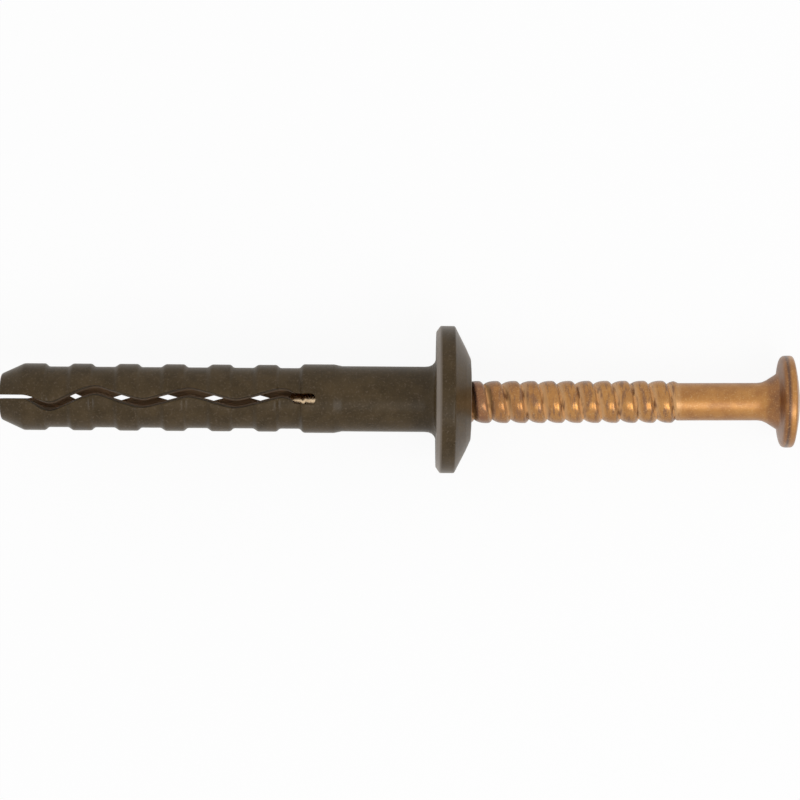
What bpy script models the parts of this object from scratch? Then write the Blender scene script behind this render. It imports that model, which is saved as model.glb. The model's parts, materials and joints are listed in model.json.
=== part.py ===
"""A hammer-in wall plug with its drive screw set part of the way in, lying on a flat surface.

Both pieces share one axis. In the plug's own frame that axis is X: the plug's nose is at x = 0,
its collar at the far end, and the screw comes out of the collar with its head furthest along +X.
The whole is then tipped about Y until the collar's rim and the screw head's rim both touch
the surface that it lies on.
"""

import math

import bmesh
import bpy
from mathutils import Matrix, Vector

MM = 0.001
SEGMENTS = 20
MERGE = 0.001 * MM

# Plug: nose, ribs and barrel
NOSE_RADIUS = 1.98 * MM
NOSE_EDGE = 0.25 * MM
NOSE_LENGTH = 2.11 * MM
RIB_RADIUS = 3.00 * MM
GROOVE_RADIUS = 2.66 * MM
FIRST_LAND = 1.92 * MM
RIB_COUNT = 6
RIB_PITCH = 4.215 * MM
RIB_LAND = 1.68 * MM
RIB_RISE = 0.42 * MM
RIB_FALL = 0.28 * MM
BARREL_RADIUS = 3.12 * MM
BARREL_RISE = 0.33 * MM
BARREL_LAND = 2.80 * MM
BARREL_FALL = 0.72 * MM

# Plug: neck and collar
UNDER_COLLAR_LENGTH = 39.64 * MM
NECK_RADIUS = 2.95 * MM
NECK_FILLET = 1.00 * MM
NECK_FILLET_STEPS = 3
COLLAR_RADIUS = 6.69 * MM
COLLAR_CHAMFER = 0.64 * MM
COLLAR_CHAMFER_LENGTH = 0.46 * MM
COLLAR_RIM = 1.28 * MM
COLLAR_THICKNESS = 3.22 * MM
COLLAR_TOP_RADIUS = 3.74 * MM
COLLAR_EDGE_RADIUS = 4.11 * MM
COLLAR_EDGE_DROP = 0.11 * MM

# Plug: bore
NOSE_BORE_RADIUS = 0.90 * MM
NOSE_BORE_LENGTH = 1.50 * MM
SPREADING_BORE_RADIUS = 1.15 * MM
GUIDE_CLEARANCE = 0.10 * MM
TIP_CLEARANCE = 0.60 * MM

# Plug: the wavy slits, one above the bore and one below it, half a wave apart
SLIT_ROLL = math.radians(2.3)
SLIT_LENGTH = 28.73 * MM
SLIT_DEPTH = 3.60 * MM
SLIT_OVERLAP = 0.20 * MM
SLIT_MOUTH = 0.74 * MM
SLIT_ROOT = 0.44 * MM
NOSE_SLIT_WIDTH = 0.39 * MM
NOSE_SLIT_LENGTH = 2.10 * MM
END_SLIT_WIDTH = 0.93 * MM
END_SLIT_LENGTH = 2.00 * MM
WAVE_START = 4.39 * MM
WAVE_HEIGHT = 0.46 * MM
FIRST_WAVE_EXTRA = 0.40 * MM
FIRST_WAVE_REACH = 4.50 * MM
STATIONS_PER_PITCH = 10

# Drive screw
THREAD_RADIUS = 1.90 * MM
THREAD_DEPTH = 0.42 * MM
THREAD_PITCH = 1.67 * MM
THREAD_FADE = 0.70 * MM
CREST_START = 7
CREST_END = 17
TIP_RADIUS = 0.50 * MM
TIP_LENGTH = 4.00 * MM
TIP_THREAD_START = 0.80 * MM
SCREW_LENGTH = 44.80 * MM
SHANK_RADIUS = 1.60 * MM
PLAIN_SHANK = 8.10 * MM
CONE_LENGTH = 1.65 * MM
CONE_RADIUS = 2.55 * MM
HEAD_RADIUS = 4.20 * MM
HEAD_RIM = 1.37 * MM
HEAD_EDGE = 0.40 * MM
HEAD_UNDER_EDGE = 0.12 * MM
HEAD_EDGE_STEPS = 3
HEAD_DOME = 0.32 * MM
HEAD_DOME_STEPS = 3
HEAD_STANDOFF = 28.20 * MM

# Cross recess in the screw's head
RECESS_REACH = 2.10 * MM
RECESS_FLOOR_REACH = 1.10 * MM
RECESS_WIDTH = 0.95 * MM
RECESS_FLOOR_WIDTH = 0.70 * MM
RECESS_DEPTH = 2.10 * MM
RECESS_RISE = 0.50 * MM

# Places along the axis that follow from the sizes above
COLLAR_TOP = UNDER_COLLAR_LENGTH + COLLAR_THICKNESS
GUIDE_RADIUS = THREAD_RADIUS + GUIDE_CLEARANCE
HEAD_SEAT = COLLAR_TOP + HEAD_STANDOFF
SCREW_TIP = HEAD_SEAT - SCREW_LENGTH
SPREADING_BORE_END = SCREW_TIP - TIP_CLEARANCE
GUIDE_BORE_START = SCREW_TIP + TIP_LENGTH + GUIDE_CLEARANCE

# Places along the screw, counted from its tip. The thread runs a whole number of facets.
CONE_START = SCREW_LENGTH - CONE_LENGTH
FACET_LEAD = THREAD_PITCH / SEGMENTS
THREAD_FACETS = math.floor((CONE_START - PLAIN_SHANK - TIP_THREAD_START) / FACET_LEAD)
THREAD_END = TIP_THREAD_START + THREAD_FACETS * FACET_LEAD


def clear_scene():
    for item in list(bpy.data.objects):
        bpy.data.objects.remove(item, do_unlink=True)


def smooth_step(value):
    clamped = min(1.0, max(0.0, value))
    return clamped * clamped * (3.0 - 2.0 * clamped)


def mix(first, second, share):
    return first + (second - first) * share


def arc(centre_x, centre_r, radius, start, end, steps):
    """Points of an arc in the plane of a profile, from one angle to another, both included."""
    points = []
    for step in range(steps + 1):
        angle = mix(start, end, step / steps)
        points.append((centre_x + radius * math.cos(angle), centre_r + radius * math.sin(angle)))
    return points


def make_material(name, colour, roughness, metallic):
    material = bpy.data.materials.new(name)
    material.use_nodes = True
    shader = material.node_tree.nodes["Principled BSDF"]
    shader.inputs["Base Color"].default_value = (*colour, 1.0)
    shader.inputs["Roughness"].default_value = roughness
    shader.inputs["Metallic"].default_value = metallic
    return material


def make_object(name, mesh, material, parent):
    item = bpy.data.objects.new(name, mesh)
    bpy.context.scene.collection.objects.link(item)
    item.parent = parent
    if material:
        item.data.materials.append(material)
    return item


def make_mesh(name, bm):
    bmesh.ops.recalc_face_normals(bm, faces=bm.faces)
    mesh = bpy.data.meshes.new(name)
    bm.to_mesh(mesh)
    bm.free()
    return mesh


def turned_mesh(name, profile):
    """Spins a closed loop of (x, radius) points about X, with a flat facet straight below the axis."""
    start = math.pi / SEGMENTS
    bm = bmesh.new()
    verts = [bm.verts.new((x, r * math.cos(start), r * math.sin(start))) for x, r in profile]
    edges = [bm.edges.new((verts[i - 1], verts[i])) for i in range(len(verts))]
    bmesh.ops.spin(
        bm,
        geom=verts + edges,
        cent=(0, 0, 0),
        axis=(1, 0, 0),
        angle=math.tau,
        steps=SEGMENTS,
        use_merge=True,
    )
    return make_mesh(name, bm)


def shade_round(item, crease_angle):
    item.data.shade_smooth()
    item.data.set_sharp_from_angle(angle=crease_angle)


def cut(item, cutter):
    boolean = item.modifiers.new(cutter.name, "BOOLEAN")
    boolean.operation = "DIFFERENCE"
    boolean.solver = "EXACT"
    boolean.object = cutter
    cutter.hide_render = True
    cutter.display_type = "WIRE"


def rib_profile():
    """Ribs from the nose's end to the barrel. Each land ends one pitch after the last one."""
    land_end = NOSE_LENGTH + FIRST_LAND
    points = [(NOSE_LENGTH, RIB_RADIUS), (land_end, RIB_RADIUS)]
    points.append((land_end + RIB_FALL, GROOVE_RADIUS))
    for _ in range(RIB_COUNT - 1):
        land_end += RIB_PITCH
        points.append((land_end - RIB_LAND - RIB_RISE, GROOVE_RADIUS))
        points.append((land_end - RIB_LAND, RIB_RADIUS))
        points.append((land_end, RIB_RADIUS))
        points.append((land_end + RIB_FALL, GROOVE_RADIUS))
    return points


def barrel_profile(last_groove_start):
    groove = RIB_PITCH - RIB_LAND - RIB_RISE - RIB_FALL
    start = last_groove_start + groove
    land_start = start + BARREL_RISE
    land_end = land_start + BARREL_LAND
    return [
        (start, GROOVE_RADIUS),
        (land_start, BARREL_RADIUS),
        (land_end, BARREL_RADIUS),
        (land_end + BARREL_FALL, NECK_RADIUS),
    ]


def collar_profile():
    """The fillet below the collar, its chamfered underside, rim, crown and flat top."""
    fillet_centre = (UNDER_COLLAR_LENGTH - NECK_FILLET, NECK_RADIUS + NECK_FILLET)
    points = arc(*fillet_centre, NECK_FILLET, -math.pi / 2, 0.0, NECK_FILLET_STEPS)
    rim_start = UNDER_COLLAR_LENGTH + COLLAR_CHAMFER_LENGTH
    points.append((UNDER_COLLAR_LENGTH, COLLAR_RADIUS - COLLAR_CHAMFER))
    points.append((rim_start, COLLAR_RADIUS))
    points.append(collar_rest_point())
    points.append((COLLAR_TOP - COLLAR_EDGE_DROP, COLLAR_EDGE_RADIUS))
    points.append((COLLAR_TOP, COLLAR_TOP_RADIUS))
    return points


def collar_rest_point():
    return (UNDER_COLLAR_LENGTH + COLLAR_CHAMFER_LENGTH + COLLAR_RIM, COLLAR_RADIUS)


def bore_profile():
    """The bore from the collar's top to the nose: countersink, guide, cone, narrow spreading bore."""
    slope = (CONE_RADIUS - SHANK_RADIUS) / CONE_LENGTH
    mouth_radius = CONE_RADIUS + GUIDE_CLEARANCE
    countersink_depth = (mouth_radius - GUIDE_RADIUS) / slope
    return [
        (COLLAR_TOP, mouth_radius),
        (COLLAR_TOP - countersink_depth, GUIDE_RADIUS),
        (GUIDE_BORE_START, GUIDE_RADIUS),
        (SPREADING_BORE_END, SPREADING_BORE_RADIUS),
        (NOSE_BORE_LENGTH, SPREADING_BORE_RADIUS),
        (0.0, NOSE_BORE_RADIUS),
    ]


def sleeve_mesh():
    ribs = rib_profile()
    barrel = barrel_profile(ribs[-1][0])
    nose = [(0.0, NOSE_RADIUS - NOSE_EDGE), (NOSE_EDGE, NOSE_RADIUS)]
    return turned_mesh("plug_sleeve", nose + ribs + barrel + collar_profile() + bore_profile())


def slit_centre(x):
    """Height of the upper slit's middle across the plug, at a place along it."""
    if x < WAVE_START:
        run_in = (x - NOSE_SLIT_LENGTH) / (WAVE_START - NOSE_SLIT_LENGTH)
        return -(WAVE_HEIGHT + FIRST_WAVE_EXTRA) * smooth_step(run_in)
    extra = FIRST_WAVE_EXTRA * math.exp(-(((x - WAVE_START) / FIRST_WAVE_REACH) ** 2))
    wave = -(WAVE_HEIGHT + extra) * math.cos(math.pi * (x - WAVE_START) / RIB_PITCH)
    return wave * (1.0 - end_share(x))


def end_share(x):
    """How far the slit has turned into its straight, wider end: 0 in the waves, 1 at the end."""
    straight_start = SLIT_LENGTH - END_SLIT_LENGTH
    return smooth_step((x - straight_start + END_SLIT_LENGTH / 2) / (END_SLIT_LENGTH / 2))


def slit_half_widths(x):
    """Half the slit's width at the axis and at the ribs' crests."""
    opened = smooth_step((x - NOSE_SLIT_LENGTH) / (WAVE_START - NOSE_SLIT_LENGTH))
    root = mix(NOSE_SLIT_WIDTH, SLIT_ROOT, opened)
    mouth = mix(NOSE_SLIT_WIDTH, SLIT_MOUTH, opened)
    mouth = mix(mouth, END_SLIT_WIDTH, end_share(x))
    return root / 2, mouth / 2


def slit_cutter(name, side, parent):
    """A wavy blade from just past the axis to beyond the plug's skin. Side is 1 above and -1 below."""
    step = RIB_PITCH / STATIONS_PER_PITCH
    count = math.ceil(SLIT_LENGTH / step) + 1
    bm = bmesh.new()
    rings = []
    for station in range(count + 1):
        x = SLIT_LENGTH - (count - station) * step
        centre = side * slit_centre(x)
        root, mouth = slit_half_widths(x)
        slope = (mouth - root) / RIB_RADIUS
        ring = []
        for depth, direction in ((-SLIT_OVERLAP, -1), (-SLIT_OVERLAP, 1), (SLIT_DEPTH, 1), (SLIT_DEPTH, -1)):
            half_width = root + slope * max(depth, 0.0)
            ring.append(bm.verts.new((x, centre + direction * half_width, side * depth)))
        rings.append(ring)
    for ring, following in zip(rings, rings[1:]):
        for i in range(4):
            bm.faces.new((ring[i - 1], ring[i], following[i], following[i - 1]))
    bm.faces.new(rings[0])
    bm.faces.new(rings[-1])
    cutter = make_object(name, make_mesh(name, bm), None, parent)
    cutter.rotation_euler.x = SLIT_ROLL
    return cutter


def thread_radius(along, crest):
    """Radius of the thread's crest or root at a distance from the screw's tip."""
    root_radius = THREAD_RADIUS - THREAD_DEPTH
    fade = smooth_step((THREAD_END - along) / THREAD_FADE)
    grown = min(1.0, max(0.0, (along - TIP_THREAD_START) / (TIP_LENGTH - TIP_THREAD_START)))
    root = mix(TIP_RADIUS, root_radius, min(1.0, along / TIP_LENGTH))
    if crest:
        root += THREAD_DEPTH * grown
    return mix(SHANK_RADIUS, root, fade)


def thread_column(lead):
    """(x, radius) points of the thread along one line, which the helix has pushed on by lead.

    Points before the thread's start or past its end fall on that end, where they merge.
    """
    places = ((0, False), (CREST_START, True), (CREST_END, True))
    turns = math.ceil(THREAD_FACETS / SEGMENTS)
    points = []
    for turn in range(-1, turns + 1):
        for place, crest in places:
            along = TIP_THREAD_START + (turn * SEGMENTS + place) * FACET_LEAD + lead
            on_thread = TIP_THREAD_START < along < THREAD_END
            along = min(THREAD_END, max(TIP_THREAD_START, along))
            points.append((along, thread_radius(along, crest and on_thread)))
    return points


def head_column():
    """(x, radius) points from the shank's end over the head to the middle of its top."""
    rim_end = SCREW_LENGTH + HEAD_RIM
    edge_centre = (rim_end - HEAD_EDGE, HEAD_RADIUS - HEAD_EDGE)
    dome_radius = HEAD_RADIUS - HEAD_EDGE
    points = [
        (CONE_START, SHANK_RADIUS),
        (SCREW_LENGTH, CONE_RADIUS),
        (SCREW_LENGTH, HEAD_RADIUS - HEAD_UNDER_EDGE),
        (SCREW_LENGTH + HEAD_UNDER_EDGE, HEAD_RADIUS),
    ]
    points += arc(*edge_centre, HEAD_EDGE, math.pi / 2, 0.0, HEAD_EDGE_STEPS)
    for step in range(1, HEAD_DOME_STEPS + 1):
        share = step / HEAD_DOME_STEPS
        rise = HEAD_DOME * (1.0 - (1.0 - share) ** 2)
        points.append((rim_end + rise, dome_radius * (1.0 - share)))
    return points


def screw_mesh():
    """Columns of points along the screw, one for each angle. The last one falls on the first."""
    bm = bmesh.new()
    columns = []
    for segment in range(SEGMENTS + 1):
        angle = math.tau * (segment + 0.5) / SEGMENTS
        lead = segment * FACET_LEAD
        profile = [(0.0, 0.0), (0.0, TIP_RADIUS)] + thread_column(lead) + head_column()
        column = []
        for along, radius in profile:
            place = (SCREW_TIP + along, radius * math.cos(angle), radius * math.sin(angle))
            column.append(bm.verts.new(place))
        columns.append(column)
    for column, following in zip(columns, columns[1:]):
        for i in range(1, len(column)):
            bm.faces.new((column[i - 1], column[i], following[i], following[i - 1]))
    bmesh.ops.remove_doubles(bm, verts=bm.verts, dist=MERGE)
    return make_mesh("drive_screw", bm)


def recess_cutter(parent):
    """A cross that narrows towards its floor, sunk into the middle of the screw's head."""
    top = HEAD_SEAT + HEAD_RIM + HEAD_DOME
    levels = (
        (top - RECESS_DEPTH, RECESS_FLOOR_REACH, RECESS_FLOOR_WIDTH / 2),
        (top, RECESS_REACH, RECESS_WIDTH / 2),
        (top + RECESS_RISE, RECESS_REACH, RECESS_WIDTH / 2),
    )
    bm = bmesh.new()
    rings = []
    for x, reach, half_width in levels:
        corner = ((reach, -half_width), (reach, half_width), (half_width, half_width))
        ring = []
        for quarter in range(4):
            turn = Matrix.Rotation(quarter * math.pi / 2, 3, "X")
            for y, z in corner:
                ring.append(bm.verts.new(turn @ Vector((x, y, z))))
        rings.append(ring)
    for ring, following in zip(rings, rings[1:]):
        for i in range(len(ring)):
            bm.faces.new((ring[i - 1], ring[i], following[i], following[i - 1]))
    bm.faces.new(rings[0])
    bm.faces.new(rings[-1])
    return make_object("recess_cutter", make_mesh("recess_cutter", bm), None, parent)


def build_sleeve(parent):
    nylon = make_material("brown_nylon", (0.060, 0.036, 0.020), 0.42, 0.0)
    sleeve = make_object("plug_sleeve", sleeve_mesh(), nylon, parent)
    cut(sleeve, slit_cutter("upper_slit_cutter", 1, parent))
    cut(sleeve, slit_cutter("lower_slit_cutter", -1, parent))
    shade_round(sleeve, math.radians(25))
    return sleeve


def build_screw(parent):
    copper = make_material("coppered_steel", (0.62, 0.33, 0.15), 0.32, 1.0)
    screw = make_object("drive_screw", screw_mesh(), copper, parent)
    cut(screw, recess_cutter(parent))
    shade_round(screw, math.radians(25))
    return screw


def rest_tilt():
    """Angle at which the collar's rim and the head's rim stand on one surface, on their lowest flats."""
    flat = math.cos(math.pi / SEGMENTS)
    pivot_x, pivot_radius = collar_rest_point()
    slopes = []
    for along, radius in head_column():
        slopes.append((pivot_radius - radius) * flat / (SCREW_TIP + along - pivot_x))
    return math.atan(min(slopes))


def world_box(items):
    graph = bpy.context.evaluated_depsgraph_get()
    corners = []
    for item in items:
        evaluated = item.evaluated_get(graph)
        mesh = evaluated.to_mesh()
        corners += [evaluated.matrix_world @ vert.co for vert in mesh.vertices]
        evaluated.to_mesh_clear()
    low = Vector([min(corner[i] for corner in corners) for i in range(3)])
    high = Vector([max(corner[i] for corner in corners) for i in range(3)])
    return low, high


def lay_down(axis, items):
    """Tips the shared axis to its rest, then sets the middle of the underside on the world's origin."""
    axis.rotation_euler.y = rest_tilt()
    bpy.context.view_layer.update()
    low, high = world_box(items)
    axis.location = (-(low.x + high.x) / 2, -(low.y + high.y) / 2, -low.z)
    bpy.context.view_layer.update()


def main():
    clear_scene()
    axis = bpy.data.objects.new("plug_axis", None)
    bpy.context.scene.collection.objects.link(axis)
    lay_down(axis, [build_sleeve(axis), build_screw(axis)])


main()
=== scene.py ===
"""The looks of a hammer-in wall plug and its drive screw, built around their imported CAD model.

Both pieces are modelled in the plug's own frame, in millimetres: x runs along their shared axis
from the plug's nose to the screw's head, y runs up the picture and z towards the camera. The CAD
gives the place of that frame. The finished meshes are then moved into the frame of the CAD.
"""

import json
import math

import bmesh
import bpy
from mathutils import Matrix, Vector

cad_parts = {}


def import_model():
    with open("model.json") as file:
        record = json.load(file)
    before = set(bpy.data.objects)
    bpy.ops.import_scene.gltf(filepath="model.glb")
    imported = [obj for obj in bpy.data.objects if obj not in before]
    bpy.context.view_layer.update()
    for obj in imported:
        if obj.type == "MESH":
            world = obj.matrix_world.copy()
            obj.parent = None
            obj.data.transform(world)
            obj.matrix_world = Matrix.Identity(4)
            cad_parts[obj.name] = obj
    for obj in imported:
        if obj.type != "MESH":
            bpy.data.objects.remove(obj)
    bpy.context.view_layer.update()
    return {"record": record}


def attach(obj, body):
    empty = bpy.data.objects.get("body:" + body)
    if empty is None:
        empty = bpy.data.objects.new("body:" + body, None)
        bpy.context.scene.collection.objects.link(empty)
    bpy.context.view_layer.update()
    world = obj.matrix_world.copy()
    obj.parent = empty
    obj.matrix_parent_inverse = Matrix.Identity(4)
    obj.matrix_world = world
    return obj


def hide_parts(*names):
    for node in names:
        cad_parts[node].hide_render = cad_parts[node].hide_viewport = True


MM = 0.001

# Mesh density, and the longest share of an edge that a fillet takes
HALF_STEPS = 36
SCREW_COLUMNS = 72
ARC_TURN = math.radians(18)
SLIT_STEP = 0.16
PLAIN_STEP = 0.60
WALL_STEPS = 3
LIP_STEPS = 3
MERGE = 0.0002
CREASE = math.radians(38)
FILLET_SHARE = 0.45

# Sleeve: outline corners as (x, radius, fillet)
NOSE_CORNERS = ((0.0, 1.60, 0.0), (0.0, 2.08, 0.30), (2.11, 3.05, 0.60))
FIRST_LAND_END = 4.03
RIB_COUNT = 6
RIB_PITCH = 4.215
RIB_LAND = 1.68
RIB_RISE = 0.42
RIB_FALL = 0.30
RIB_RADIUS = 3.05
GROOVE_RADIUS = 2.77
RIB_EDGE = 0.34
GROOVE_EDGE = 0.34
BARREL_RADIUS = 3.13
BARREL_RISE = 0.33
BARREL_LAND = 2.80
BARREL_FALL = 0.72
NECK_RADIUS = 2.98
COLLAR_CORNERS = (
    (39.64, 2.98, 1.00),
    (39.64, 6.18, 0.14),
    (40.02, 6.72, 0.18),
    (41.32, 6.72, 0.22),
    (42.36, 4.68, 1.20),
    (42.80, 3.70, 0.30),
    (42.86, 2.80, 0.12),
)

# Sleeve: bore corners from the collar's top to the nose
BORE_CORNERS = (
    (41.70, 2.30, 0.40),
    (30.36, 2.30, 0.60),
    (25.66, 1.15, 0.60),
    (1.50, 1.15, 0.30),
)
NOSE_BORE = 0.90

# Sleeve: the wavy slits
SLIT_ROLL = math.radians(0.2)
SLIT_LENGTH = 28.73
SLIT_MOUTH = 0.96
SLIT_ROOT = 0.19
SLIT_LIP = 0.10
SLIT_LIP_SHARE = 0.6
NOSE_SLIT_WIDTH = 0.33
NOSE_SLIT_LENGTH = 2.10
END_SLIT_WIDTH = 0.93
END_SLIT_LENGTH = 1.70
END_ROUND = 0.40
END_ROUND_STEPS = 8
WAVE_START = 4.62
WAVE_HEIGHT = 0.49
WAVE_POINT = 0.93
FIRST_WAVE_EXTRA = 0.38
FIRST_WAVE_REACH = 4.50

# Screw
SCREW_TIP = 26.26
TIP_RADIUS = 0.85
TIP_FACE_RADIUS = 0.595
TIP_EDGE = 0.15
TIP_LENGTH = 4.00
THREAD_START = 27.06
THREAD_END = 61.80
THREAD_FADE = 0.55
THREAD_PITCH = 1.67
THREAD_CREST = 58.57
THREAD_RADIUS = 1.93
THREAD_DEPTH = 0.36
THREAD_PEAK = 0.76
THREAD_RISE_POWER = 3.0
THREAD_FALL_POWER = 0.8
PLACES_PER_PITCH = 20
SHANK_RADIUS = 1.71
SCREW_TILT = math.radians(0.5)
TILT_MIDDLE = 68.0
HEAD_CORNERS = (
    (69.41, SHANK_RADIUS, 1.60),
    (70.80, 2.60, 0.45),
    (71.09, 4.20, 0.52),
    (72.16, 4.20, 0.55),
)
DOME_RADIUS = 3.62
DOME_START = 72.30
DOME_HEIGHT = 0.45
DOME_STEPS = 10

# Cross recess as levels of (x, reach, width)
RECESS_LEVELS = (
    (70.65, 1.10, 0.70),
    (72.58, 2.02, 0.92),
    (72.78, 2.26, 1.14),
    (73.25, 2.26, 1.14),
)

# No share and half a share, as colours
BLACK = (0.0, 0.0, 0.0)
GREY = (0.5, 0.5, 0.5)

# Nylon. Ramps run over the distance from the axis or from the nose, in metres, or over a noise
NYLON_DARK = (0.038, 0.022, 0.005)
NYLON_LIGHT = (0.063, 0.039, 0.014)
NYLON_GRAIN = (0.090, 0.062, 0.036)
# Painted shade: a darker band inside the slits just under their lips
LIP_PAINTED_SHADE = (0.022, 0.013, 0.005)
# Painted light: the slits' deep walls are paler, in place of light reaching into the slits
WALL_PAINTED_LIGHT = (0.42, 0.27, 0.15)
# Painted sheen: a paler strip on the collar's lower chamfer
CHAMFER_PAINTED_SHEEN = (0.25, 0.21, 0.175)
CLOUD_SCALE = 600.0
CLOUD_RAMP = (0.35, 0.65)
GRAIN_SCALE = 5200.0
GRAIN_RAMP = (0.55, 0.75)
FLOW_STRETCH = (120.0, 1400.0, 1400.0)
LIP_RAMP = (0.00262, 0.00274)
WALL_RAMP = (0.0013, 0.0024)
NOSE_FACE_RAMP = (0.0017, 0.0022)
SLIT_END_RAMP = (0.0292, 0.0300)
COLLAR_CHAMFER_RAMP = (0.0399, 0.0402)
COLLAR_RIM_RAMP = (0.0060, 0.0062)
NYLON_ROUGHNESS = (0.27, 0.36)
WALL_ROUGHNESS = (0.90, 0.90, 0.90)

# Copper. Ramps as for the nylon
COPPER_LIGHT = (0.43, 0.188, 0.032)
COPPER_DARK = (0.34, 0.134, 0.016)
# Painted shade: darker copper for the thread beside the collar and for the head's underside
PAINTED_SHADE_LIGHT = (0.30, 0.112, 0.012)
PAINTED_SHADE_DARK = (0.21, 0.072, 0.006)
# Painted shade: the thread darkest where it leaves the collar
COLLAR_END_PAINTED_SHADE = (0.19, 0.062, 0.018)
# Painted light: the thread's grooves are paler, offsetting the shade in them
GROOVE_PAINTED_LIGHT = (0.70, 0.42, 0.18)
BLOTCH_SHADE = (0.22, 0.088, 0.022)
# Partly bare steel, partly painted light: the tip is paler, lifted inside the slit's shade
BARE_TIP_AND_PAINTED_LIGHT = (0.70, 0.52, 0.32)
# Painted reflection: a dark line round the head's rim
RIM_PAINTED_DARK_REFLECTION = (0.11, 0.038, 0.008)
SPECKLE_SHADE = (0.56, 0.33, 0.13)
TARNISH_SCALE = 900.0
TARNISH_RAMP = (0.38, 0.66)
FINE_SCALE = 7000.0
SPECKLE_RAMP = (0.55, 0.85)
SCUFF_STRETCH = (600.0, 9000.0, 9000.0)
BLOTCH_STRETCH = (3000.0, 700.0, 700.0)
BLOTCH_RAMP = (0.50, 0.66)
NEAR_COLLAR_SHADE_RAMP = (0.0440, 0.0490)
COLLAR_END_RAMP = (0.0430, 0.0450)
GROOVE_PAINTED_LIGHT_RAMP = (0.00158, 0.00186)
GROOVE_DIRT_RAMP = (0.00186, 0.00162)
BARE_TIP_LIGHT_RAMP = (0.0295, 0.0315)
CLEAN_TIP_RAMP = (0.0315, 0.0330)
THREAD_END_RAMP = (0.0613, 0.0620)
UNDER_HEAD_RAMP = (0.0695, 0.0699)
RIM_LINE_START = (0.07130, 0.07142)
RIM_LINE_END = (0.07152, 0.07176)
GROOVE_METAL = 0.35
GROOVE_ROUGHNESS = (0.75, 0.75, 0.75)
THREAD_ROUGHNESS = (0.25, 0.25, 0.25)
SHANK_ROUGHNESS = (0.42, 0.54)

# Roughness follows the clouds and the tarnish over this ramp
ROUGHNESS_RAMP = (0.3, 0.7)

# Floor, world, lamp and camera
FLOOR_RADIUS = 1.5
FLOOR_SIDES = 96
FLOOR_GLOW = 0.91
SOFT_LIGHT = 0.72
LAMP_TIPS = (math.radians(24), math.radians(23))
LAMP_DISTANCE = 420.0
LAMP_SIZE = (300.0, 230.0)
LAMP_POWER = 0.56
CAMERA_DISTANCE = 280.0
CAMERA_LENS = 138.0
SENSOR_WIDTH = 36.0
CAMERA_CLIP = (0.01, 10.0)
CAMERA_ROLL = math.radians(0.41)
CAMERA_TARGET = (36.36, -0.073, 0.0)


def mix(first, second, share):
    return first + (second - first) * share


def smooth_step(value):
    clamped = min(1.0, max(0.0, value))
    return clamped * clamped * (3.0 - 2.0 * clamped)


def plug_frame(record):
    """The matrix from the plug's own frame in millimetres to the frame of the CAD in metres."""
    axis = -Vector(record["behaviour"]["joints"][0]["axis"]).normalized()
    across = Vector((0.0, 1.0, 0.0))
    up = axis.cross(across)
    sleeve = [vert.co for vert in bpy.data.objects["plug_sleeve"].data.vertices]
    nose = min(co.dot(axis) for co in sleeve)
    heights = [co.dot(up) for co in sleeve]
    origin = axis * nose + up * (min(heights) + max(heights)) / 2
    turn = Matrix((axis, across, up)).transposed().to_4x4()
    return Matrix.Translation(origin) @ turn @ Matrix.Scale(MM, 4)


def screw_frame(matrix):
    """The same for the screw, which leans a little in its wide bore."""
    middle = Matrix.Translation((TILT_MIDDLE, 0.0, 0.0))
    return matrix @ middle @ Matrix.Rotation(SCREW_TILT, 4, "Z") @ middle.inverted()


def rounded(corners):
    """An outline through corners of (x, radius, fillet), with each inner corner rounded off."""
    points = [Vector(corners[0][:2])]
    for before, corner, after in zip(corners, corners[1:], corners[2:]):
        middle = Vector(corner[:2])
        back = Vector(before[:2]) - middle
        ahead = Vector(after[:2]) - middle
        turn = math.pi - back.angle(ahead)
        longest = FILLET_SHARE * min(back.length, ahead.length)
        reach = min(corner[2] * math.tan(turn / 2), longest)
        if reach < MERGE:
            points.append(middle)
            continue
        start = middle + back.normalized() * reach
        end = middle + ahead.normalized() * reach
        steps = max(2, math.ceil(turn / ARC_TURN))
        for step in range(steps + 1):
            share = step / steps
            points.append(start.lerp(middle, share).lerp(middle.lerp(end, share), share))
    points.append(Vector(corners[-1][:2]))
    return points


def divided(points, longest):
    """The same outline with no stretch longer than the given length."""
    out = [points[0]]
    for first, second in zip(points, points[1:]):
        steps = max(1, math.ceil((second - first).length / longest))
        out += [first.lerp(second, step / steps) for step in range(1, steps + 1)]
    return out


def outline_radius(points, x):
    """Radius of an outline at x, where the outline runs one way along x."""
    for first, second in zip(points, points[1:]):
        if min(first.x, second.x) <= x <= max(first.x, second.x) and first.x != second.x:
            return mix(first.y, second.y, (x - first.x) / (second.x - first.x))
    return points[-1].y


def skin_corners():
    """Corners of the sleeve's outside from the nose to the collar's top."""
    corners = list(NOSE_CORNERS)
    land_end = FIRST_LAND_END
    corners.append((land_end, RIB_RADIUS, RIB_EDGE))
    corners.append((land_end + RIB_FALL, GROOVE_RADIUS, GROOVE_EDGE))
    for _ in range(RIB_COUNT - 1):
        land_end += RIB_PITCH
        corners.append((land_end - RIB_LAND - RIB_RISE, GROOVE_RADIUS, GROOVE_EDGE))
        corners.append((land_end - RIB_LAND, RIB_RADIUS, RIB_EDGE))
        corners.append((land_end, RIB_RADIUS, RIB_EDGE))
        corners.append((land_end + RIB_FALL, GROOVE_RADIUS, GROOVE_EDGE))
    barrel = land_end + RIB_PITCH - RIB_LAND - RIB_RISE
    corners.append((barrel, GROOVE_RADIUS, GROOVE_EDGE))
    corners.append((barrel + BARREL_RISE, BARREL_RADIUS, RIB_EDGE))
    barrel_end = barrel + BARREL_RISE + BARREL_LAND
    corners.append((barrel_end, BARREL_RADIUS, RIB_EDGE))
    corners.append((barrel_end + BARREL_FALL, NECK_RADIUS, RIB_EDGE))
    return corners + list(COLLAR_CORNERS)


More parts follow.
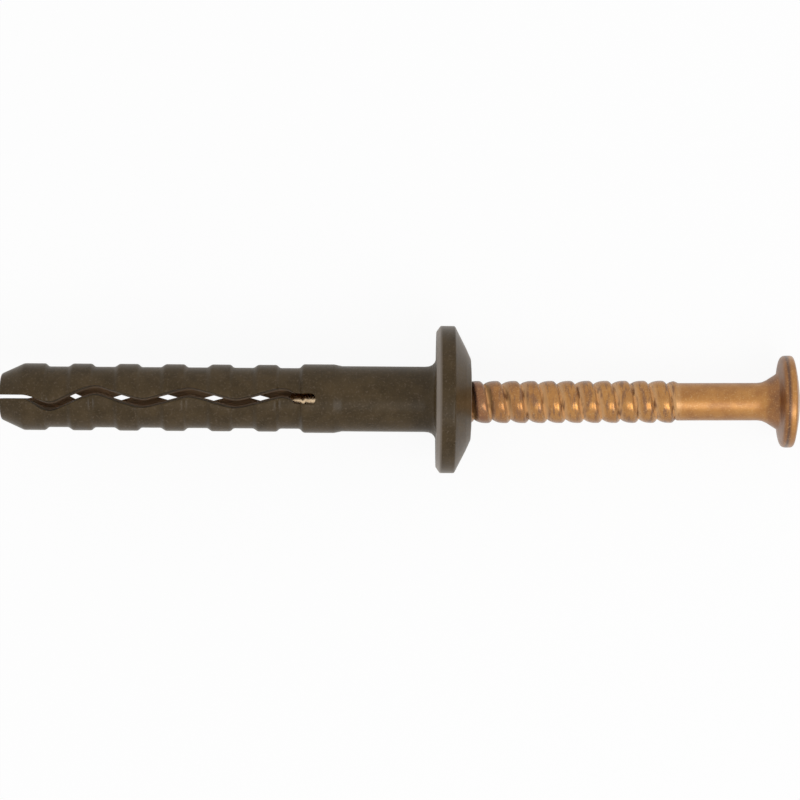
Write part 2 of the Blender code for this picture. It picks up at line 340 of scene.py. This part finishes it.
def end_share(x):
    """How far the slit has turned into its straight, wider end: 0 in the waves, 1 at the end."""
    straight_start = SLIT_LENGTH - END_SLIT_LENGTH
    return smooth_step((x - straight_start + END_SLIT_LENGTH / 2) / (END_SLIT_LENGTH / 2))


def slit_centre(x):
    """Height of the upper slit's middle across the plug, at a place along it."""
    if x < WAVE_START:
        run_in = (x - NOSE_SLIT_LENGTH) / (WAVE_START - NOSE_SLIT_LENGTH)
        return -(WAVE_HEIGHT + FIRST_WAVE_EXTRA) * smooth_step(run_in)
    extra = FIRST_WAVE_EXTRA * math.exp(-(((x - WAVE_START) / FIRST_WAVE_REACH) ** 2))
    swing = WAVE_POINT * math.cos(math.pi * (x - WAVE_START) / RIB_PITCH)
    wave = -(WAVE_HEIGHT + extra) * math.asin(swing) / math.asin(WAVE_POINT)
    return wave * (1.0 - end_share(x))


def slit_half_widths(x):
    """Half the slit's width at the axis and at the ribs' crests. Both close in its round end."""
    opened = smooth_step((x - NOSE_SLIT_LENGTH) / (WAVE_START - NOSE_SLIT_LENGTH))
    root = mix(NOSE_SLIT_WIDTH, SLIT_ROOT, opened)
    mouth = mix(NOSE_SLIT_WIDTH, SLIT_MOUTH, opened)
    root = mix(root, END_SLIT_WIDTH, end_share(x))
    mouth = mix(mouth, END_SLIT_WIDTH, end_share(x))
    into_end = max(0.0, 1.0 - (SLIT_LENGTH - x) / END_ROUND)
    closing = math.sqrt(max(0.0, 1.0 - into_end**2))
    return closing * root / 2, closing * mouth / 2


def slit_edge(x, outer, inner, side):
    """(y, z) points of the +Y half's slit face, from the skin over its rounded lip to the bore.

    Side is 1 for the slit above the bore and -1 for the one below it.
    """
    root, mouth = slit_half_widths(x)
    slope = (mouth - root) / RIB_RADIUS
    start = side * slit_centre(x) + root
    lip = min(SLIT_LIP, SLIT_LIP_SHARE * mouth)

    def on_face(radius):
        spread = 1.0 + slope**2
        depth = (math.sqrt(radius**2 * spread - start**2) - start * slope) / spread
        return Vector((start + slope * depth, side * depth))

    corner = on_face(outer)
    angle = math.atan2(corner.y, corner.x) - side * lip / outer
    skin = Vector((outer * math.cos(angle), outer * math.sin(angle)))
    face = on_face(outer - lip)
    points = []
    for step in range(LIP_STEPS + 1):
        share = step / LIP_STEPS
        points.append(skin.lerp(corner, share).lerp(corner.lerp(face, share), share))
    for step in range(1, WALL_STEPS + 1):
        points.append(on_face(mix(outer - lip, inner, step / WALL_STEPS)))
    return points


def arc_between(first, second, radius):
    """Points on a circle about the axis, from one point on it to another on the +Y side."""
    start = math.atan2(first.y, first.x)
    end = math.atan2(second.y, second.x)
    points = []
    for step in range(HALF_STEPS + 1):
        angle = mix(start, end, step / HALF_STEPS)
        points.append(Vector((radius * math.cos(angle), radius * math.sin(angle))))
    return points


def half_section(x, outer, inner):
    """The closed outline of the +Y half of the split sleeve, as (y, z) points."""
    upper = slit_edge(x, outer, inner, 1)
    lower = slit_edge(x, outer, inner, -1)
    skin = arc_between(upper[0], lower[0], outer)
    bore = arc_between(lower[-1], upper[-1], inner)
    return skin + lower[1:-1] + bore + upper[-2:0:-1]


class MeshMaker:
    """Gathers points and faces, and turns them into one clean mesh."""

    def __init__(self):
        self.points = []
        self.faces = []

    def ring(self, x, section):
        first = len(self.points)
        self.points += [(x, y, z) for y, z in section]
        return list(range(first, len(self.points)))

    def join(self, ring, following, closed=True):
        start = 0 if closed else 1
        for i in range(start, len(ring)):
            self.faces.append((ring[i - 1], ring[i], following[i], following[i - 1]))

    def mesh(self, name, matrix):
        bm = bmesh.new()
        verts = [bm.verts.new(point) for point in self.points]
        for face in self.faces:
            bm.faces.new([verts[i] for i in face])
        bmesh.ops.remove_doubles(bm, verts=bm.verts, dist=MERGE)
        bmesh.ops.dissolve_degenerate(bm, edges=bm.edges, dist=MERGE / 2)
        bmesh.ops.recalc_face_normals(bm, faces=bm.faces)
        mesh = bpy.data.meshes.new(name)
        bm.to_mesh(mesh)
        bm.free()
        mesh.transform(matrix)
        mesh.shade_smooth()
        mesh.set_sharp_from_angle(angle=CREASE)
        return mesh


def add_piece(name, mesh, material):
    piece = bpy.data.objects.new(name, mesh)
    bpy.context.scene.collection.objects.link(piece)
    piece.data.materials.append(material)
    return piece


def split_stations(skin):
    """Places along the slits where the sleeve's section is drawn."""
    stations = {point.x for point in skin if point.x < SLIT_LENGTH - END_ROUND}
    for step in range(END_ROUND_STEPS + 1):
        share = math.sin(step / END_ROUND_STEPS * math.pi / 2)
        stations.add(SLIT_LENGTH - END_ROUND * (1.0 - share))
    return sorted(stations)


def build_split(maker, skin, bore):
    """The two halves of the sleeve, from the nose to where the slits end."""
    for turn in (1, -1):
        previous = None
        for x in split_stations(skin):
            outer = outline_radius(skin, x)
            inner = outline_radius(bore, x)
            section = [(turn * y, turn * z) for y, z in half_section(x, outer, inner)]
            ring = maker.ring(x, section)
            if previous:
                maker.join(previous, ring)
            else:
                maker.faces.append(tuple(ring))
            previous = ring


def full_section(radius):
    count = 2 * HALF_STEPS
    angles = [math.pi / 2 - math.tau * i / count for i in range(count)]
    return [(radius * math.cos(angle), radius * math.sin(angle)) for angle in angles]


def build_sleeve(matrix, material):
    corners = skin_corners() + list(BORE_CORNERS)
    outline = rounded(corners + [(0.0, NOSE_BORE, 0.0)])
    top = max(range(len(outline)), key=lambda i: outline[i].x)
    skin = divided(outline[: top + 1], SLIT_STEP)
    bore = divided(outline[top:], PLAIN_STEP)
    maker = MeshMaker()
    build_split(maker, skin, bore)
    start = Vector((SLIT_LENGTH, outline_radius(skin, SLIT_LENGTH)))
    end = Vector((SLIT_LENGTH, outline_radius(bore, SLIT_LENGTH)))
    plain = [start]
    plain += [point for point in skin + bore if point.x > SLIT_LENGTH]
    plain.append(end)
    rings = [maker.ring(point.x, full_section(point.y)) for point in plain]
    for ring, following in zip(rings, rings[1:]):
        maker.join(ring, following)
    roll = Matrix.Rotation(SLIT_ROLL, 4, "X")
    return add_piece("ribbed_sleeve", maker.mesh("ribbed_sleeve", matrix @ roll), material)


def thread_height(share):
    """Height of the thread over its root, 0 to 1, over one pitch that starts in the groove.

    It rises gently on the side towards the tip and falls steeply on the side towards the head.
    """
    if share < THREAD_PEAK:
        return 1.0 - (1.0 - share / THREAD_PEAK) ** THREAD_RISE_POWER
    fall = (share - THREAD_PEAK) / (1.0 - THREAD_PEAK)
    return math.cos(fall * math.pi / 2) ** THREAD_FALL_POWER


def thread_radius(x, share):
    along = x - SCREW_TIP
    start = THREAD_START - SCREW_TIP
    grown = min(1.0, max(0.0, (along - start) / (TIP_LENGTH - start)))
    root = mix(TIP_RADIUS, THREAD_RADIUS - THREAD_DEPTH, min(1.0, along / TIP_LENGTH))
    threaded = root + THREAD_DEPTH * grown * thread_height(share)
    return mix(SHANK_RADIUS, threaded, smooth_step((THREAD_END - x) / THREAD_FADE))


def thread_column(angle):
    """(x, radius) points along one line of the thread. Points past an end fall on that end."""
    shift = angle / math.tau - THREAD_PEAK
    first_turn = math.floor((THREAD_START - THREAD_CREST) / THREAD_PITCH) - 1
    last_turn = math.ceil((THREAD_END - THREAD_CREST) / THREAD_PITCH) + 1
    points = []
    for turn in range(first_turn, last_turn):
        for place in range(PLACES_PER_PITCH):
            share = place / PLACES_PER_PITCH
            x = THREAD_CREST + (turn + share + shift) * THREAD_PITCH
            x = min(THREAD_END, max(THREAD_START, x))
            points.append((x, thread_radius(x, share)))
    return points


def head_outline():
    """(x, radius) points from the thread's end over the head to the middle of its top."""
    corners = [(THREAD_END, SHANK_RADIUS, 0.0)] + list(HEAD_CORNERS)
    corners.append((DOME_START, DOME_RADIUS, 0.0))
    points = [tuple(point) for point in divided(rounded(corners), PLAIN_STEP)]
    for step in range(1, DOME_STEPS + 1):
        share = 1.0 - step / DOME_STEPS
        points.append((DOME_START + DOME_HEIGHT * (1.0 - share**2), DOME_RADIUS * share))
    return points


def recess_cutter(matrix):
    """A cross that narrows towards its floor and flares at its mouth, to be cut from the head."""
    maker = MeshMaker()
    rings = []
    for x, reach, width in RECESS_LEVELS:
        half = width / 2
        section = []
        for quarter in range(4):
            turn = Matrix.Rotation(quarter * math.pi / 2, 2)
            for corner in ((reach, -half), (reach, half), (half, half)):
                section.append(tuple(turn @ Vector(corner)))
        rings.append(maker.ring(x, section))
    for ring, following in zip(rings, rings[1:]):
        maker.join(ring, following)
    maker.faces.append(tuple(rings[0]))
    maker.faces.append(tuple(rings[-1]))
    cutter = bpy.data.objects.new("recess_cutter", maker.mesh("recess_cutter", matrix))
    bpy.context.scene.collection.objects.link(cutter)
    return cutter


def cut_away(piece, cutter):
    """Cuts the cutter out of the piece for good, and removes the cutter."""
    boolean = piece.modifiers.new("recess", "BOOLEAN")
    boolean.operation = "DIFFERENCE"
    boolean.solver = "EXACT"
    boolean.object = cutter
    graph = bpy.context.evaluated_depsgraph_get()
    mesh = bpy.data.meshes.new_from_object(piece.evaluated_get(graph))
    piece.modifiers.clear()
    piece.data = mesh
    bpy.data.objects.remove(cutter, do_unlink=True)
    mesh.shade_smooth()
    mesh.set_sharp_from_angle(angle=CREASE)


def build_screw(matrix, material):
    maker = MeshMaker()
    columns = []
    for column in range(SCREW_COLUMNS + 1):
        angle = math.tau * column / SCREW_COLUMNS
        outline = [(SCREW_TIP, 0.0), (SCREW_TIP, TIP_FACE_RADIUS)]
        outline.append((SCREW_TIP + TIP_EDGE, TIP_RADIUS))
        outline += thread_column(angle) + head_outline()
        first = len(maker.points)
        maker.points += [(x, r * math.cos(angle), r * math.sin(angle)) for x, r in outline]
        columns.append(list(range(first, len(maker.points))))
    for column, following in zip(columns, columns[1:]):
        maker.join(column, following, closed=False)
    screw = add_piece("threaded_screw", maker.mesh("threaded_screw", matrix), material)
    cut_away(screw, recess_cutter(matrix))
    return screw


class Nodes:
    """Short calls for building a material's node tree."""

    def __init__(self, material):
        material.use_nodes = True
        self.tree = material.node_tree
        self.shader = self.tree.nodes["Principled BSDF"]

    def add(self, kind, settings=(), **values):
        node = self.tree.nodes.new(kind)
        for name, value in settings:
            setattr(node, name, value)
        for name, value in values.items():
            node.inputs[name.replace("_", " ")].default_value = value
        return node

    def link(self, output, target):
        self.tree.links.new(output, target)

    def place(self, matrix):
        """Object coordinates in the plug's own frame, in metres."""
        inverse = matrix.normalized().inverted()
        coordinates = self.add("ShaderNodeTexCoord")
        mapping = self.add("ShaderNodeMapping")
        mapping.inputs["Location"].default_value = inverse.translation
        mapping.inputs["Rotation"].default_value = inverse.to_euler()
        self.link(coordinates.outputs["Object"], mapping.inputs["Vector"])
        return mapping.outputs["Vector"]

    def along(self, vector):
        """Distance along the axis from the plug's nose."""
        parts = self.add("ShaderNodeSeparateXYZ")
        self.link(vector, parts.inputs["Vector"])
        return parts.outputs["X"]

    def from_axis(self, vector):
        """Distance from the axis."""
        length = self.add("ShaderNodeVectorMath", settings=[("operation", "LENGTH")])
        self.link(self.stretched(vector, (0.0, 1.0, 1.0)), length.inputs[0])
        return length.outputs["Value"]

    def stretched(self, vector, scale):
        mapping = self.add("ShaderNodeMapping", Scale=scale)
        self.link(vector, mapping.inputs["Vector"])
        return mapping.outputs["Vector"]

    def noise(self, vector, scale, detail=3.0, roughness=0.55):
        noise = self.add("ShaderNodeTexNoise", Scale=scale, Detail=detail, Roughness=roughness)
        self.link(vector, noise.inputs["Vector"])
        return noise.outputs["Fac"]

    def ramp(self, value, low, high, start=0.0, end=1.0):
        """Maps the value from between low and high to between start and end."""
        spread = self.add("ShaderNodeMapRange")
        spread.inputs["From Min"].default_value = low
        spread.inputs["From Max"].default_value = high
        spread.inputs["To Min"].default_value = start
        spread.inputs["To Max"].default_value = end
        self.link(value, spread.inputs["Value"])
        return spread.outputs["Result"]

    def blend(self, share, first, second):
        """Mixes two colours, each a value or another node's output."""
        blend = self.add("ShaderNodeMix", settings=[("data_type", "RGBA")])
        self.link(share, blend.inputs[0])
        for socket, colour in ((blend.inputs[6], first), (blend.inputs[7], second)):
            if isinstance(colour, tuple):
                socket.default_value = (*colour, 1.0)
            else:
                self.link(colour, socket)
        return blend.outputs[2]

    def bump(self, height, strength, distance, normal=None):
        bump = self.add("ShaderNodeBump", Strength=strength, Distance=distance)
        self.link(height, bump.inputs["Height"])
        if normal:
            self.link(normal, bump.inputs["Normal"])
        return bump.outputs["Normal"]


def nylon_material(matrix):
    """Dark brown moulded nylon with faint clouds, fine grain and soft flow lines.

    The slits' walls are rough, with painted light deep inside and painted shade under their lips,
    and the collar's lower chamfer has a painted sheen.
    """
    material = bpy.data.materials.new("brown_nylon_moulded")
    nodes = Nodes(material)
    place = nodes.place(matrix)
    along = nodes.along(place)
    radius = nodes.from_axis(place)
    clouds = nodes.noise(place, CLOUD_SCALE, detail=5.0, roughness=0.68)
    grain = nodes.noise(place, GRAIN_SCALE, detail=2.0)
    flow = nodes.noise(nodes.stretched(place, FLOW_STRETCH), 1.0)

    skin = nodes.blend(nodes.ramp(clouds, *CLOUD_RAMP), NYLON_DARK, NYLON_LIGHT)
    skin = nodes.blend(nodes.ramp(grain, *GRAIN_RAMP), skin, NYLON_GRAIN)
    # Painted shade: the slits are darker just under their lips
    lip = nodes.blend(nodes.ramp(radius, *LIP_RAMP), LIP_PAINTED_SHADE, skin)
    # Painted light: the deep walls of the slits are paler, offsetting the shade inside them
    walls = nodes.blend(nodes.ramp(radius, *WALL_RAMP), WALL_PAINTED_LIGHT, lip)
    walls = nodes.blend(nodes.ramp(along, *NOSE_FACE_RAMP), skin, walls)
    colour = nodes.blend(nodes.ramp(along, *SLIT_END_RAMP), walls, skin)
    # Painted sheen on the collar's lower chamfer
    chamfer_sheen = nodes.blend(nodes.ramp(along, *COLLAR_CHAMFER_RAMP), CHAMFER_PAINTED_SHEEN, skin)
    colour = nodes.blend(nodes.ramp(radius, *COLLAR_RIM_RAMP), colour, chamfer_sheen)
    nodes.link(colour, nodes.shader.inputs["Base Color"])

    in_slit = nodes.ramp(radius, *reversed(LIP_RAMP))
    in_slit = nodes.blend(nodes.ramp(along, *NOSE_FACE_RAMP), BLACK, in_slit)
    skin_roughness = nodes.ramp(clouds, *ROUGHNESS_RAMP, *NYLON_ROUGHNESS)
    roughness = nodes.blend(in_slit, skin_roughness, WALL_ROUGHNESS)
    nodes.link(roughness, nodes.shader.inputs["Roughness"])
    nodes.shader.inputs["Specular IOR Level"].default_value = 0.22
    nodes.shader.inputs["Sheen Weight"].default_value = 0.16
    nodes.shader.inputs["Sheen Roughness"].default_value = 0.30
    nodes.shader.inputs["Sheen Tint"].default_value = (1.0, 0.90, 0.76, 1.0)

    normal = nodes.bump(grain, 0.25, 0.00002)
    normal = nodes.bump(flow, 0.20, 0.00003, normal)
    nodes.link(normal, nodes.shader.inputs["Normal"])
    return material


def copper_material(matrix):
    """Copper-plated steel: warm satin metal, browner where it has tarnished, finely scuffed.

    The thread is shinier and blotched, with matt grooves painted paler as painted light. The tip
    is pale, partly bare steel and partly painted light. Painted shade darkens the thread by the
    collar and the head's underside, and a painted dark reflection runs round the head's rim.
    """
    material = bpy.data.materials.new("copper_plated_steel")
    nodes = Nodes(material)
    place = nodes.place(matrix)
    along = nodes.along(place)
    radius = nodes.from_axis(place)
    tarnish = nodes.noise(place, TARNISH_SCALE, detail=5.0)
    fine = nodes.noise(place, FINE_SCALE)
    scuffs = nodes.noise(nodes.stretched(place, SCUFF_STRETCH), 1.0)
    blotches = nodes.noise(nodes.stretched(place, BLOTCH_STRETCH), 1.0, detail=2.0)
    on_thread = nodes.ramp(along, *THREAD_END_RAMP)

    base = nodes.blend(nodes.ramp(tarnish, *TARNISH_RAMP), COPPER_LIGHT, COPPER_DARK)
    # Painted shade: darker copper, used beside the collar and under the head
    painted_shade_copper = nodes.blend(nodes.ramp(tarnish, *TARNISH_RAMP), PAINTED_SHADE_LIGHT, PAINTED_SHADE_DARK)
    thread = nodes.blend(nodes.ramp(along, *NEAR_COLLAR_SHADE_RAMP), painted_shade_copper, base)
    # Painted shade where the thread leaves the collar
    thread = nodes.blend(nodes.ramp(along, *COLLAR_END_RAMP), COLLAR_END_PAINTED_SHADE, thread)
    # Painted light in the thread's grooves
    thread = nodes.blend(nodes.ramp(radius, *GROOVE_PAINTED_LIGHT_RAMP), GROOVE_PAINTED_LIGHT, thread)
    thread = nodes.blend(nodes.ramp(blotches, *BLOTCH_RAMP), thread, BLOTCH_SHADE)
    # Paler tip: partly bare steel, partly painted light
    thread = nodes.blend(nodes.ramp(along, *BARE_TIP_LIGHT_RAMP), BARE_TIP_AND_PAINTED_LIGHT, thread)
    colour = nodes.blend(on_thread, thread, base)
    # Painted shade under the head
    colour = nodes.blend(nodes.ramp(along, *UNDER_HEAD_RAMP), colour, painted_shade_copper)
    # Painted dark reflection round the head's rim
    colour = nodes.blend(nodes.ramp(along, *RIM_LINE_START), colour, RIM_PAINTED_DARK_REFLECTION)
    colour = nodes.blend(nodes.ramp(along, *RIM_LINE_END), colour, base)
    colour = nodes.blend(nodes.ramp(fine, *SPECKLE_RAMP), colour, SPECKLE_SHADE)
    nodes.link(colour, nodes.shader.inputs["Base Color"])

    groove = nodes.ramp(radius, *GROOVE_DIRT_RAMP)
    groove = nodes.blend(nodes.ramp(along, *CLEAN_TIP_RAMP), BLACK, groove)
    groove = nodes.blend(on_thread, groove, BLACK)
    nodes.link(nodes.ramp(groove, 0.0, 1.0, 1.0, GROOVE_METAL), nodes.shader.inputs["Metallic"])
    shank_roughness = nodes.ramp(tarnish, *ROUGHNESS_RAMP, *SHANK_ROUGHNESS)
    roughness = nodes.blend(on_thread, THREAD_ROUGHNESS, shank_roughness)
    roughness = nodes.blend(groove, roughness, GROOVE_ROUGHNESS)
    nodes.link(roughness, nodes.shader.inputs["Roughness"])
    nodes.shader.inputs["Coat Weight"].default_value = 1.0
    nodes.shader.inputs["Coat Roughness"].default_value = 0.33
    nodes.shader.inputs["Coat IOR"].default_value = 1.52

    normal = nodes.bump(fine, 0.20, 0.00002)
    normal = nodes.bump(scuffs, 0.12, 0.00002, normal)
    worn = nodes.blend(on_thread, nodes.ramp(blotches, 0.0, 1.0), GREY)
    normal = nodes.bump(worn, 0.45, 0.00006, normal)
    nodes.link(normal, nodes.shader.inputs["Normal"])
    return material


def floor_material():
    """A matt pale floor that the camera sees as almost white, with the object's shadow left in."""
    material = bpy.data.materials.new("pale_floor")
    nodes = Nodes(material)
    nodes.shader.inputs["Base Color"].default_value = (0.90, 0.90, 0.90, 1.0)
    nodes.shader.inputs["Roughness"].default_value = 1.0
    nodes.shader.inputs["Specular IOR Level"].default_value = 0.0
    glow = nodes.add("ShaderNodeEmission", Color=(1.0, 1.0, 1.0, 1.0), Strength=1.0)
    path = nodes.add("ShaderNodeLightPath")
    share = nodes.ramp(path.outputs["Is Camera Ray"], 0.0, 1.0, 0.0, FLOOR_GLOW)
    seen = nodes.add("ShaderNodeMixShader")
    nodes.link(share, seen.inputs["Fac"])
    nodes.link(nodes.shader.outputs["BSDF"], seen.inputs[1])
    nodes.link(glow.outputs["Emission"], seen.inputs[2])
    nodes.link(seen.outputs["Shader"], nodes.tree.nodes["Material Output"].inputs["Surface"])
    return material


def build_floor():
    bm = bmesh.new()
    bmesh.ops.create_circle(bm, cap_ends=True, segments=FLOOR_SIDES, radius=FLOOR_RADIUS)
    mesh = bpy.data.meshes.new("floor")
    bm.to_mesh(mesh)
    bm.free()
    floor = add_piece("floor", mesh, floor_material())


def build_world():
    """White to the camera and in reflections, and a gentler soft light on matt surfaces."""
    world = bpy.data.worlds.new("studio")
    bpy.context.scene.world = world
    world.use_nodes = True
    nodes = world.node_tree.nodes
    links = world.node_tree.links
    soft = nodes["Background"]
    soft.inputs["Color"].default_value = (1.0, 1.0, 1.0, 1.0)
    soft.inputs["Strength"].default_value = SOFT_LIGHT
    white = nodes.new("ShaderNodeBackground")
    white.inputs["Color"].default_value = (1.0, 1.0, 1.0, 1.0)
    white.inputs["Strength"].default_value = 1.0
    path = nodes.new("ShaderNodeLightPath")
    camera_or_gloss = nodes.new("ShaderNodeMath")
    camera_or_gloss.operation = "MAXIMUM"
    links.new(path.outputs["Is Camera Ray"], camera_or_gloss.inputs[0])
    links.new(path.outputs["Is Glossy Ray"], camera_or_gloss.inputs[1])
    any_of_them = nodes.new("ShaderNodeMath")
    any_of_them.operation = "MAXIMUM"
    links.new(camera_or_gloss.outputs["Value"], any_of_them.inputs[0])
    links.new(path.outputs["Is Transmission Ray"], any_of_them.inputs[1])
    switch = nodes.new("ShaderNodeMixShader")
    links.new(any_of_them.outputs["Value"], switch.inputs["Fac"])
    links.new(soft.outputs["Background"], switch.inputs[1])
    links.new(white.outputs["Background"], switch.inputs[2])
    links.new(switch.outputs["Shader"], nodes["World Output"].inputs["Surface"])


def build_lamp(matrix):
    """A soft lamp aimed at the middle of the object.

    Its tips from the camera's direction are down the picture and to the right.
    """
    lamp = bpy.data.lights.new("key_lamp", "AREA")
    lamp.shape = "RECTANGLE"
    lamp.size = LAMP_SIZE[0] * MM
    lamp.size_y = LAMP_SIZE[1] * MM
    lamp.energy = LAMP_POWER
    item = bpy.data.objects.new("key_lamp", lamp)
    bpy.context.scene.collection.objects.link(item)
    down, right = LAMP_TIPS
    turn = Matrix.Rotation(down, 4, "X") @ Matrix.Rotation(right, 4, "Y")
    away = Matrix.Translation((0.0, 0.0, LAMP_DISTANCE))
    item.matrix_world = (matrix @ Matrix.Translation(CAMERA_TARGET) @ turn @ away).normalized()


def build_camera(matrix):
    camera = bpy.data.cameras.new("camera")
    camera.lens = CAMERA_LENS
    camera.sensor_width = SENSOR_WIDTH
    camera.clip_start, camera.clip_end = CAMERA_CLIP
    item = bpy.data.objects.new("camera", camera)
    bpy.context.scene.collection.objects.link(item)
    place = Matrix.Translation(Vector(CAMERA_TARGET) + Vector((0.0, 0.0, CAMERA_DISTANCE)))
    roll = Matrix.Rotation(CAMERA_ROLL, 4, "Z")
    item.matrix_world = (matrix @ place @ roll).normalized()
    bpy.context.scene.camera = item


def main():
    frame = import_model()
    matrix = plug_frame(frame["record"])

    sleeve = build_sleeve(matrix, nylon_material(matrix))
    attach(sleeve, "plug")
    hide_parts("plug_sleeve")

    leaning = screw_frame(matrix)
    screw = build_screw(leaning, copper_material(leaning))
    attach(screw, "screw")
    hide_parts("drive_screw")

    build_floor()
    build_world()
    build_lamp(matrix)
    build_camera(matrix)
    bpy.context.scene.view_settings.view_transform = "Standard"


main()
